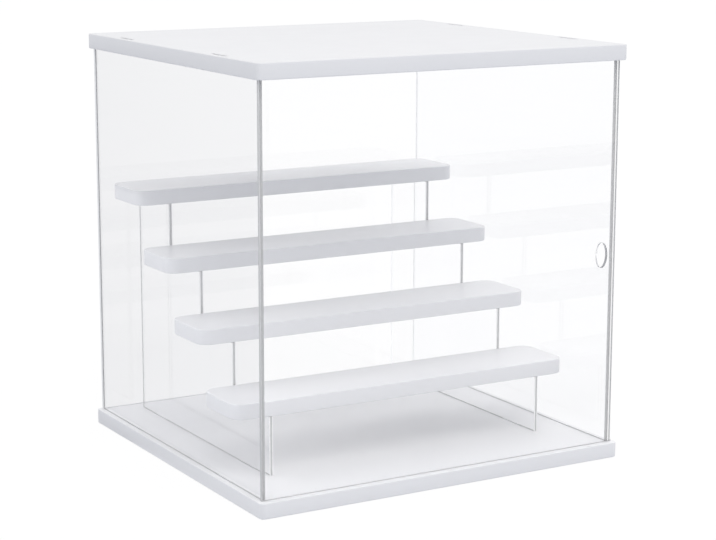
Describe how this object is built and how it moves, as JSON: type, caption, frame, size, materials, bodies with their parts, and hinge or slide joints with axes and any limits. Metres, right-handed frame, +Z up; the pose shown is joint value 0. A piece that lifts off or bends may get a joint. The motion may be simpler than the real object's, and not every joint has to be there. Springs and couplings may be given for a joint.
{
  "type": "display case",
  "caption": "Clear-walled countertop display case between white boards, with a sliding front door and a stepped stand of white shelves inside.",
  "frame": {"origin": "centre of the base board's underside", "axes": "+Z up, +X to the right along the front, +Y from the front door to the back panel"},
  "size_m": [0.32, 0.302, 0.328],
  "materials": {
    "white_board": "smooth satin white paint over fibreboard",
    "white_shelf": "smooth white paint over fibreboard, glossier than the boards",
    "clear_sheet": "clear cast sheet with polished faces and edges"
  },
  "bodies": {
    "case": {"base_board": "white_board", "top_board": "white_board", "left_panel": "clear_sheet", "right_panel": "clear_sheet", "back_panel": "clear_sheet", "left_step_plate": "clear_sheet", "right_step_plate": "clear_sheet", "shelf_1": "white_shelf", "shelf_2": "white_shelf", "shelf_3": "white_shelf", "shelf_4": "white_shelf"},
    "door": {"front_door": "clear_sheet"}
  },
  "joints": [
    {"name": "door_slide", "type": "slide", "parent": "case", "child": "door", "axis": [1, 0, 0], "range_m": [0, 0.29]}
  ]
}
